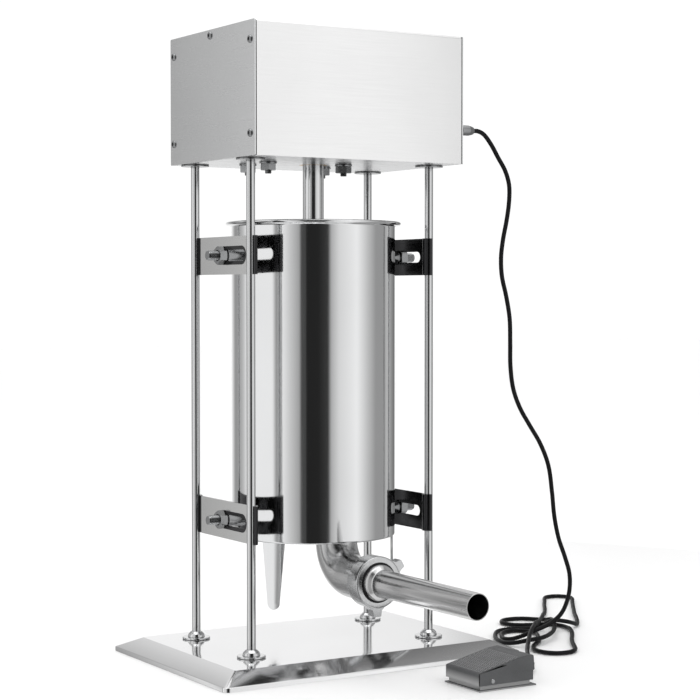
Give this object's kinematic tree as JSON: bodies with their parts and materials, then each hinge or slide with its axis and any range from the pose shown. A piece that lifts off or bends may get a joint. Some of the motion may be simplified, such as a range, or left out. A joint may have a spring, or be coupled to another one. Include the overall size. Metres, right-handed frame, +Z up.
{
  "type": "sausage stuffer",
  "caption": "Upright electric sausage stuffer: steel barrel between four posts, rack-driven piston, sheet metal drive box, side nozzle and a foot pedal on a cord.",
  "frame": {"origin": "point on the underside of the base, on the floor, directly under the axis of the barrel", "axes": "+Z up along the barrel and the posts, -Y towards the nozzle and the operator, +X to the right, the side with the pedal and its cord"},
  "size_m": [0.7193, 0.5078, 0.753],
  "materials": {
    "polished_steel": "mirror polished stainless steel",
    "satin_steel": "satin stainless sheet",
    "plain_steel": "bright zinc plated or machined steel",
    "dark_steel": "dark phosphated steel",
    "bronze": "plain bearing bronze",
    "cast_grey": "grey casting",
    "pedal_paint": "dark grey paint, satin",
    "black_plastic": "black moulded plastic",
    "white_rubber": "food grade silicone",
    "board_green": "green circuit board"
  },
  "bodies": {
    "root": {"barrel": "polished_steel", "base_bottom_plate": "plain_steel", "base_tray": "polished_steel", "bracket_lower_left": "satin_steel", "bracket_lower_right": "satin_steel", "bracket_upper_left": "satin_steel", "bracket_upper_right": "satin_steel", "control_board": "board_green", "cord_gland": "plain_steel", "direction_switch": "black_plastic", "drive_plate": "plain_steel", "foot_flange_front_left": "polished_steel", "foot_flange_front_right": "polished_steel", "foot_flange_rear_left": "polished_steel", "foot_flange_rear_right": "polished_steel", "gear_frame": "cast_grey", "gear_frame_bolt_front_left": "plain_steel", "gear_frame_bolt_front_right": "plain_steel", "gear_frame_bolt_rear_left": "plain_steel", "gear_frame_bolt_rear_right": "plain_steel", "gear_motor": "dark_steel", "housing_shell": "satin_steel", "outlet_elbow": "polished_steel", "pedal_base": "pedal_paint", "pedal_cord_bundle": "black_plastic", "pedal_cord_drop": "black_plastic", "pedal_cord_lead": "black_plastic", "pedal_grommet": "black_plastic", "pedal_pin": "plain_steel", "pedal_spring": "plain_steel", "pedal_switch": "black_plastic", "post_front_left": "polished_steel", "post_front_right": "polished_steel", "post_rear_left": "polished_steel", "post_rear_right": "polished_steel", "power_inlet": "black_plastic", "rod_guide_lower": "bronze", "rod_guide_upper": "bronze", "shaft_bearing": "plain_steel", "side_cover_left": "satin_steel", "side_cover_right": "satin_steel", "top_washer_front_left": "plain_steel", "top_washer_front_right": "plain_steel", "top_washer_rear_left": "plain_steel", "top_washer_rear_right": "plain_steel"},
    "piston": {"piston_rod": "polished_steel", "piston_plate": "polished_steel", "piston_seal": "white_rubber"},
    "air_valve": {"air_valve": "plain_steel"},
    "pinion": {"drive_pinion": "dark_steel", "pinion_shaft": "plain_steel"},
    "nozzle": {"nozzle": "polished_steel"},
    "union_nut": {"union_nut": "plain_steel"},
    "clamp_nut_upper_left": {"clamp_nut_upper_left": "plain_steel"},
    "clamp_nut_upper_right": {"clamp_nut_upper_right": "plain_steel"},
    "clamp_nut_lower_left": {"clamp_nut_lower_left": "plain_steel"},
    "clamp_nut_lower_right": {"clamp_nut_lower_right": "plain_steel"},
    "rocker": {"switch_rocker": "black_plastic"},
    "treadle": {"pedal_treadle": "pedal_paint"},
    "plunger": {"switch_plunger": "white_rubber"}
  },
  "joints": [
    {"name": "piston_slide", "type": "slide", "parent": "root", "child": "piston", "axis": [0, 0, 1], "range_m": [0, 0.385]},
    {"name": "air_valve_lift", "type": "slide", "parent": "piston", "child": "air_valve", "axis": [0, 0, 1], "range_m": [0, 0.0018]},
    {"name": "pinion_spin", "type": "hinge", "parent": "root", "child": "pinion", "pos_m": [0, 0.0328, 0.647], "axis": [1, 0, 0], "range_deg": [-985, 0]},
    {"name": "nozzle_pull", "type": "slide", "parent": "root", "child": "nozzle", "axis": [0, -1, 0], "range_m": [0, 0.08]},
    {"name": "union_nut_spin", "type": "hinge", "parent": "nozzle", "child": "union_nut", "pos_m": [0, -0.138, 0.1055], "axis": [0, 1, 0], "continuous": true},
    {"name": "clamp_nut_upper_left_spin", "type": "hinge", "parent": "root", "child": "clamp_nut_upper_left", "pos_m": [-0.1285, 0, 0.486], "axis": [1, 0, 0], "continuous": true},
    {"name": "clamp_nut_upper_right_spin", "type": "hinge", "parent": "root", "child": "clamp_nut_upper_right", "pos_m": [0.1285, 0, 0.486], "axis": [1, 0, 0], "continuous": true},
    {"name": "clamp_nut_lower_left_spin", "type": "hinge", "parent": "root", "child": "clamp_nut_lower_left", "pos_m": [-0.1285, 0, 0.172], "axis": [1, 0, 0], "continuous": true},
    {"name": "clamp_nut_lower_right_spin", "type": "hinge", "parent": "root", "child": "clamp_nut_lower_right", "pos_m": [0.1285, 0, 0.172], "axis": [1, 0, 0], "continuous": true},
    {"name": "rocker_tilt", "type": "hinge", "parent": "root", "child": "rocker", "pos_m": [0.037, 0.0975, 0.639], "axis": [1, 0, 0], "range_deg": [-8, 8]},
    {"name": "treadle_press", "type": "hinge", "parent": "root", "child": "treadle", "pos_m": [0.0558, -0.263, 0.0105], "axis": [0, 1, 0], "range_deg": [0, 3.2], "stiffness_Nm_per_rad": 6, "springref_deg": -2.86, "deforming": ["pedal_spring"]},
    {"name": "plunger_press", "type": "slide", "parent": "root", "child": "plunger", "axis": [0, 0, -1], "range_m": [0, 0.0022]}
  ],
  "couplings": [
    {"joint": "pinion_spin", "follows": "piston_slide", "rad_per_m": -44.444},
    {"joint": "plunger_press", "follows": "treadle_press", "m_per_rad": 0.034}
  ]
}
